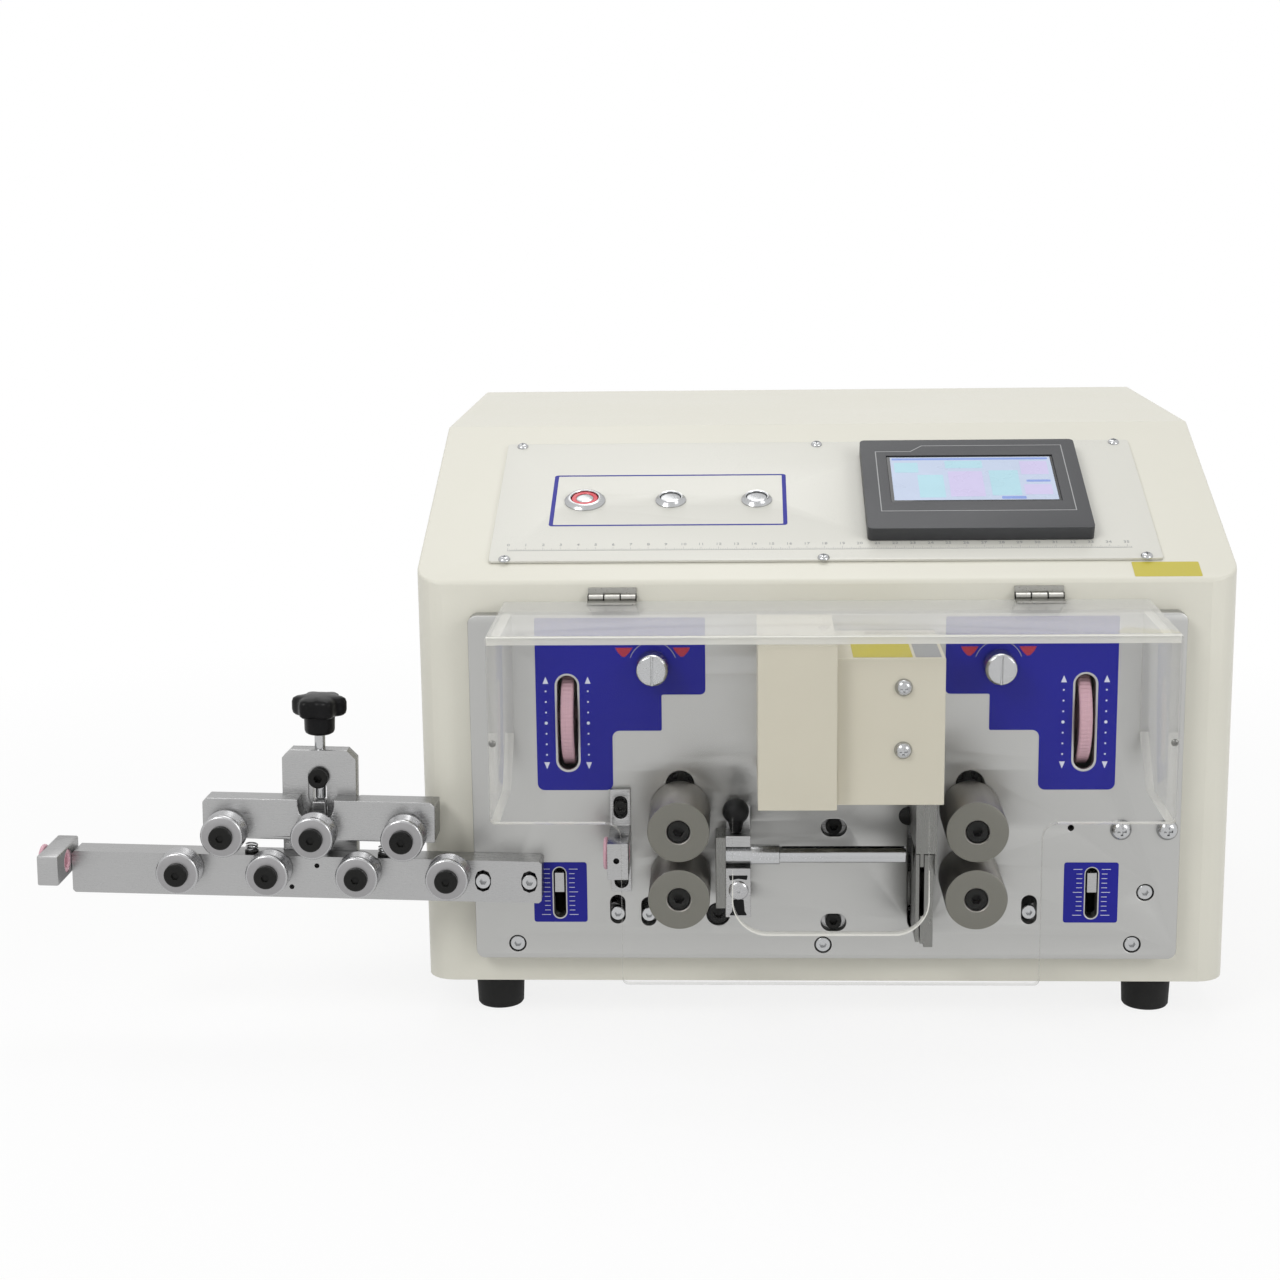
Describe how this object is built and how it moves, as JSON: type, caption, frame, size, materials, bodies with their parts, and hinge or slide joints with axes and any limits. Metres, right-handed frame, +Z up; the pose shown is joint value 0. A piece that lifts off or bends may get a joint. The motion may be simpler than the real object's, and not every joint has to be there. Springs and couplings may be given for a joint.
{
  "type": "wire cutting stripping machine",
  "caption": "Bench machine that feeds wire through rollers, cuts it to length and strips its ends, with a straightener arm at the left and a clear hinged cover.",
  "frame": {"origin": "under the middle of the whole machine, its arm included, at the underside of its feet", "axes": "+X to the operator's right along the wire, +Y to the rear, +Z up"},
  "size_m": [0.669, 0.4924, 0.327],
  "materials": {
    "cream_paint": "fine texture semi-gloss paint",
    "panel_film": "satin printed film",
    "plate_aluminium": "milled, matt",
    "satin_aluminium": "milled, satin",
    "roller_steel": "ground, oiled",
    "bright_steel": "turned, bright",
    "chrome": "polished plate",
    "motor_steel": "black, semi-gloss",
    "black_plastic": "moulded",
    "dark_bezel": "fine grain moulding",
    "black_rubber": "moulded",
    "clear_acrylic": "clear, polished",
    "pink_ceramic": "glazed",
    "beige_nylon": "turned nylon",
    "grey_case": "matt grey case",
    "board_green": "solder resist"
  },
  "bodies": {
    "machine_body": {"casing_shell": "cream_paint", "base_plate": "cream_paint", "rear_panel": "cream_paint", "foot_front_left": "black_rubber", "foot_front_right": "black_rubber", "foot_rear_left": "black_rubber", "foot_rear_right": "black_rubber", "front_plate": "plate_aluminium", "control_panel": "panel_film", "touch_screen": "dark_bezel", "hinge_fixed_leaf_left": "chrome", "hinge_fixed_leaf_right": "chrome", "blade_guard_left": "cream_paint", "blade_guard_right": "cream_paint", "straightener_bar": "satin_aluminium", "straightener_bracket": "satin_aluminium", "arm_eyelet_block": "satin_aluminium", "arm_eyelet": "pink_ceramic", "inlet_guide": "satin_aluminium", "inlet_eyelet": "pink_ceramic", "feed_motor_left": "motor_steel", "feed_motor_right": "motor_steel", "bearing_plate": "satin_aluminium", "cutter_frame": "satin_aluminium", "cutter_motor": "motor_steel", "power_supply": "grey_case", "control_board": "board_green", "power_inlet": "black_plastic"},
    "cover": {"safety_cover": "clear_acrylic", "hinge_moving_leaf_left": "chrome", "hinge_moving_leaf_right": "chrome"},
    "left_lower_roller": {"feed_roller_lower_left": "roller_steel"},
    "right_lower_roller": {"feed_roller_lower_right": "roller_steel"},
    "left_lift_arm": {"lift_arm_left": "satin_aluminium"},
    "right_lift_arm": {"lift_arm_right": "satin_aluminium"},
    "left_upper_roller": {"feed_roller_upper_left": "roller_steel"},
    "right_upper_roller": {"feed_roller_upper_right": "roller_steel"},
    "left_gap_wheel": {"thumb_wheel_left": "beige_nylon"},
    "right_gap_wheel": {"thumb_wheel_right": "beige_nylon"},
    "left_pressure_knob": {"pressure_knob_left": "bright_steel"},
    "right_pressure_knob": {"pressure_knob_right": "bright_steel"},
    "upper_blade_slide": {"upper_blade_holder": "satin_aluminium", "upper_blade": "bright_steel"},
    "lower_blade_slide": {"lower_blade_holder": "satin_aluminium", "lower_blade": "bright_steel"},
    "blade_screw": {"cutter_screw": "bright_steel"},
    "wire_pipe": {"swing_pipe": "satin_aluminium"},
    "clamp_knob": {"pipe_clamp_knob": "black_plastic"},
    "power_push": {"power_button": "bright_steel"},
    "stop_push": {"stop_button": "bright_steel"},
    "start_push": {"start_button": "bright_steel"},
    "carriage": {"straightener_carriage": "satin_aluminium"},
    "carriage_knob": {"star_knob": "black_plastic"},
    "lower_straightener_wheel_1": {"lower_wheel_1": "satin_aluminium"},
    "lower_straightener_wheel_2": {"lower_wheel_2": "satin_aluminium"},
    "lower_straightener_wheel_3": {"lower_wheel_3": "satin_aluminium"},
    "lower_straightener_wheel_4": {"lower_wheel_4": "satin_aluminium"},
    "upper_straightener_wheel_1": {"upper_wheel_1": "satin_aluminium"},
    "upper_straightener_wheel_2": {"upper_wheel_2": "satin_aluminium"},
    "upper_straightener_wheel_3": {"upper_wheel_3": "satin_aluminium"}
  },
  "joints": [
    {"name": "cover_hinge", "type": "hinge", "parent": "machine_body", "child": "cover", "pos_m": [0.10547, -0.14915, 0.2513], "axis": [-1, 0, 0], "range_deg": [0, 95]},
    {"name": "left_feed_spin", "type": "hinge", "parent": "machine_body", "child": "left_lower_roller", "pos_m": [0.02447, -0.14615, 0.09285], "axis": [0, 1, 0], "continuous": true},
    {"name": "left_roller_lift", "type": "slide", "parent": "machine_body", "child": "left_lift_arm", "axis": [0, 0, 1], "range_m": [-0.0036, 0]},
    {"name": "left_upper_spin", "type": "hinge", "parent": "left_lift_arm", "child": "left_upper_roller", "pos_m": [0.02447, -0.14615, 0.13115], "axis": [0, 1, 0], "continuous": true},
    {"name": "left_gap_turn", "type": "hinge", "parent": "machine_body", "child": "left_gap_wheel", "pos_m": [-0.03813, -0.13415, 0.1815], "axis": [1, 0, 0], "range_deg": [0, 240.1]},
    {"name": "left_pressure_turn", "type": "hinge", "parent": "machine_body", "child": "left_pressure_knob", "pos_m": [0.00997, -0.14615, 0.2147], "axis": [0, -1, 0], "range_deg": [-60, 60]},
    {"name": "right_feed_spin", "type": "hinge", "parent": "machine_body", "child": "right_lower_roller", "pos_m": [0.18647, -0.14615, 0.09285], "axis": [0, 1, 0], "continuous": true},
    {"name": "right_roller_lift", "type": "slide", "parent": "machine_body", "child": "right_lift_arm", "axis": [0, 0, 1], "range_m": [-0.0036, 0]},
    {"name": "right_upper_spin", "type": "hinge", "parent": "right_lift_arm", "child": "right_upper_roller", "pos_m": [0.18647, -0.14615, 0.13115], "axis": [0, 1, 0], "continuous": true},
    {"name": "right_gap_turn", "type": "hinge", "parent": "machine_body", "child": "right_gap_wheel", "pos_m": [0.24907, -0.13415, 0.1815], "axis": [1, 0, 0], "range_deg": [0, 240.1]},
    {"name": "right_pressure_turn", "type": "hinge", "parent": "machine_body", "child": "right_pressure_knob", "pos_m": [0.20097, -0.14615, 0.2147], "axis": [0, -1, 0], "range_deg": [-60, 60]},
    {"name": "blade_screw_turn", "type": "hinge", "parent": "machine_body", "child": "blade_screw", "pos_m": [0.14347, -0.11615, 0.126], "axis": [0, 0, 1], "range_deg": [0, 360.1]},
    {"name": "upper_blade_stroke", "type": "slide", "parent": "machine_body", "child": "upper_blade_slide", "axis": [0, 0, 1], "range_m": [-0.008, 0]},
    {"name": "lower_blade_stroke", "type": "slide", "parent": "machine_body", "child": "lower_blade_slide", "axis": [0, 0, 1], "range_m": [0, 0.00801]},
    {"name": "pipe_swing", "type": "hinge", "parent": "machine_body", "child": "wire_pipe", "pos_m": [0.05747, -0.16615, 0.13], "axis": [0, -1, 0], "range_deg": [0, 12]},
    {"name": "clamp_knob_turn", "type": "hinge", "parent": "wire_pipe", "child": "clamp_knob", "pos_m": [0.05572, -0.17915, 0.1385], "axis": [0, 0, 1], "continuous": true},
    {"name": "power_press", "type": "slide", "parent": "machine_body", "child": "power_push", "axis": [0, 0.3593, -0.9332], "range_m": [0, 0.0015], "stiffness_N_per_m": 400, "springref_m": -0.002},
    {"name": "stop_press", "type": "slide", "parent": "machine_body", "child": "stop_push", "axis": [0, 0.3593, -0.9332], "range_m": [0, 0.0015], "stiffness_N_per_m": 400, "springref_m": -0.002},
    {"name": "start_press", "type": "slide", "parent": "machine_body", "child": "start_push", "axis": [0, 0.3593, -0.9332], "range_m": [0, 0.0015], "stiffness_N_per_m": 400, "springref_m": -0.002},
    {"name": "carriage_slide", "type": "slide", "parent": "machine_body", "child": "carriage", "axis": [0.0244, 0, 0.9997], "range_m": [-0.004, 0.006]},
    {"name": "carriage_knob_turn", "type": "hinge", "parent": "carriage", "child": "carriage_knob", "pos_m": [-0.17798, -0.15515, 0.1916], "axis": [0.0244, 0, 0.9997], "range_deg": [-1152.5, 1728.5]},
    {"name": "lower_wheel_spin_1", "type": "hinge", "parent": "machine_body", "child": "lower_straightener_wheel_1", "pos_m": [-0.25617, -0.18015, 0.10279], "axis": [0, 1, 0], "continuous": true},
    {"name": "lower_wheel_spin_2", "type": "hinge", "parent": "machine_body", "child": "lower_straightener_wheel_2", "pos_m": [-0.20578, -0.18015, 0.10156], "axis": [0, 1, 0], "continuous": true},
    {"name": "lower_wheel_spin_3", "type": "hinge", "parent": "machine_body", "child": "lower_straightener_wheel_3", "pos_m": [-0.1554, -0.18015, 0.10033], "axis": [0, 1, 0], "continuous": true},
    {"name": "lower_wheel_spin_4", "type": "hinge", "parent": "machine_body", "child": "lower_straightener_wheel_4", "pos_m": [-0.10501, -0.18015, 0.0991], "axis": [0, 1, 0], "continuous": true},
    {"name": "upper_wheel_spin_1", "type": "hinge", "parent": "carriage", "child": "upper_straightener_wheel_1", "pos_m": [-0.23004, -0.18015, 0.12426], "axis": [0, 1, 0], "continuous": true},
    {"name": "upper_wheel_spin_2", "type": "hinge", "parent": "carriage", "child": "upper_straightener_wheel_2", "pos_m": [-0.17965, -0.18015, 0.12303], "axis": [0, 1, 0], "continuous": true},
    {"name": "upper_wheel_spin_3", "type": "hinge", "parent": "carriage", "child": "upper_straightener_wheel_3", "pos_m": [-0.12927, -0.18015, 0.1218], "axis": [0, 1, 0], "continuous": true}
  ],
  "couplings": [
    {"joint": "left_upper_spin", "follows": "left_feed_spin", "ratio": -1},
    {"joint": "left_gap_turn", "follows": "left_roller_lift", "rad_per_m": -1163.6},
    {"joint": "right_upper_spin", "follows": "right_feed_spin", "ratio": -1},
    {"joint": "right_gap_turn", "follows": "right_roller_lift", "rad_per_m": -1163.6},
    {"joint": "blade_screw_turn", "follows": "upper_blade_stroke", "rad_per_m": -785.4},
    {"joint": "lower_blade_stroke", "follows": "upper_blade_stroke", "ratio": -1},
    {"joint": "carriage_knob_turn", "follows": "carriage_slide", "rad_per_m": 5026.5}
  ]
}
